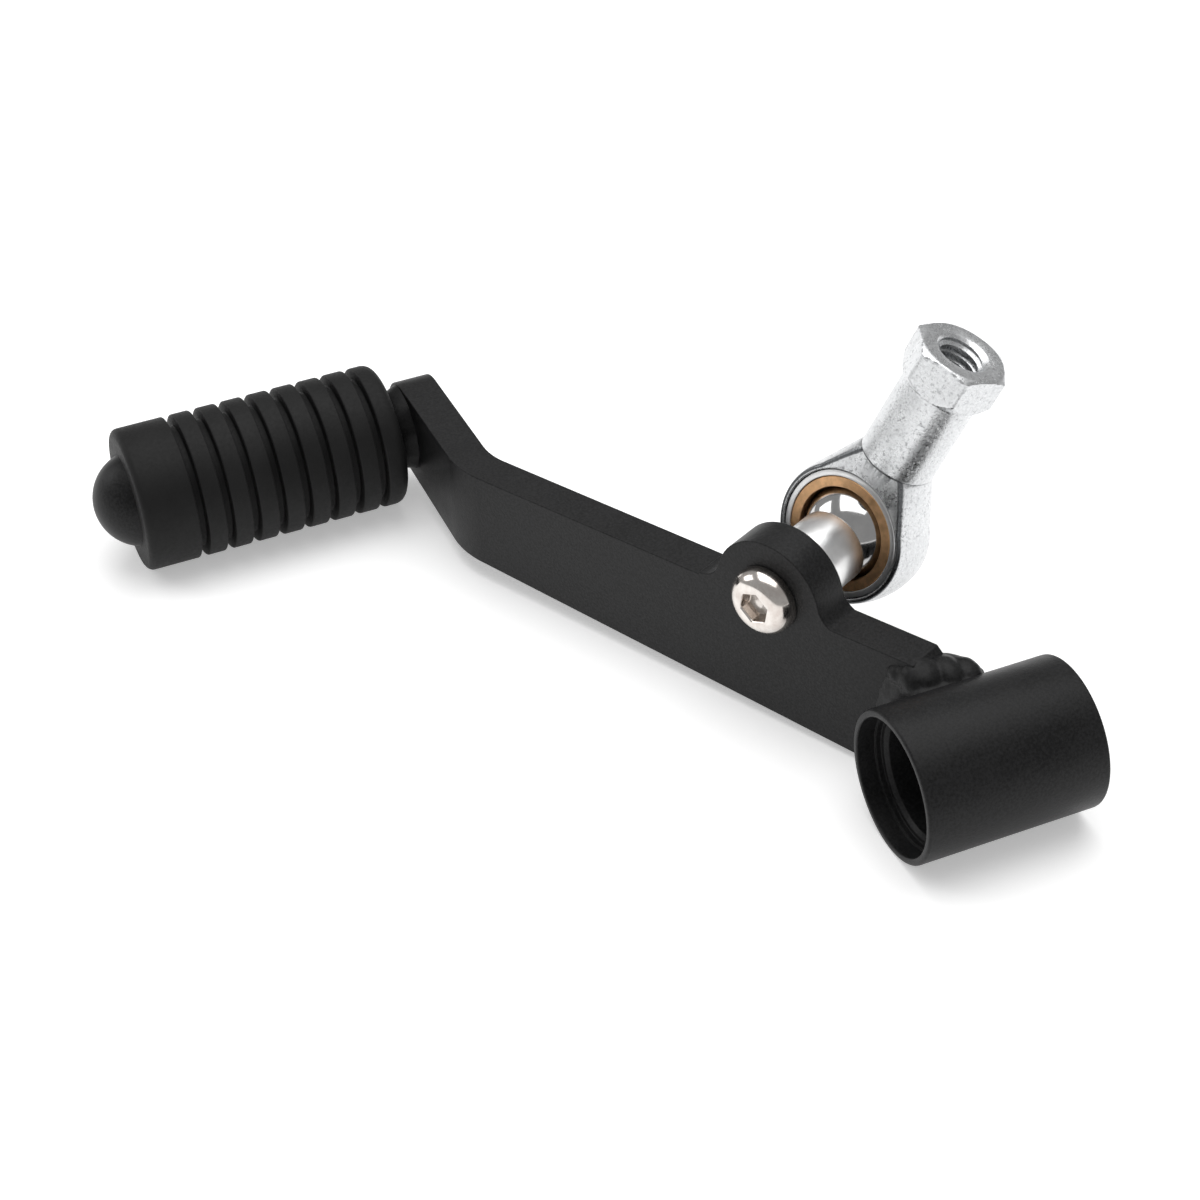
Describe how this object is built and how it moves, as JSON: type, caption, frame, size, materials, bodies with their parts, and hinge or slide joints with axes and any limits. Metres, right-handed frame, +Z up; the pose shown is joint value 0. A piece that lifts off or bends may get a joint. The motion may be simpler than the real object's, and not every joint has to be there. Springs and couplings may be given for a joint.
{
  "type": "motorcycle gear shift lever",
  "caption": "Cranked flat shift lever with a welded pivot tube, a ribbed rubber toe peg and a spherical rod end bolted to a lug for the linkage.",
  "frame": {"origin": "middle of the pivot tube's bore, on its axis", "axes": "+Y along the pivot tube's axis, away from the rider's foot peg side; the arm runs towards -X; +Z up"},
  "size_m": [0.1456, 0.1271, 0.06],
  "materials": {
    "satin_black_steel": "satin black coat with a fine grain",
    "black_tube": "satin black coat",
    "black_weld": "satin black coat over a rippled weld",
    "black_pin": "satin black coat",
    "peg_rubber": "matte moulded",
    "nickel_screw": "bright nickel",
    "bright_spacer": "turned and polished",
    "ball_chrome": "mirror polished",
    "liner_bronze": "sintered bronze",
    "race_zinc": "fine turned",
    "housing_zinc": "bright zinc, grainy",
    "washer_zinc": "bright zinc",
    "nut_zinc": "bright zinc",
    "insert_nylon": "smooth nylon"
  },
  "bodies": {
    "lever": {"arm": "satin_black_steel", "pivot_tube": "black_tube", "pivot_weld": "black_weld", "peg_pin": "black_pin", "peg_weld": "black_weld", "peg_rubber": "peg_rubber", "lever_screw": "nickel_screw", "spacer": "bright_spacer", "ball": "ball_chrome", "washer": "washer_zinc", "lock_nut": "nut_zinc", "nut_insert": "insert_nylon"},
    "bearing": {"liner": "liner_bronze"},
    "rod_head": {"race_ring": "race_zinc", "rod_end": "housing_zinc"}
  },
  "joints": [
    {"name": "rod_end_tilt", "type": "hinge", "parent": "lever", "child": "bearing", "pos_m": [-0.04552, 0.00234, 0.012], "axis": [0.891, 0.454, 0], "range_deg": [0, 30]},
    {"name": "rod_end_swing", "type": "hinge", "parent": "bearing", "child": "rod_head", "pos_m": [-0.04552, 0.00234, 0.012], "axis": [-0.4385, 0.8606, -0.2588], "range_deg": [-225, 50]}
  ]
}
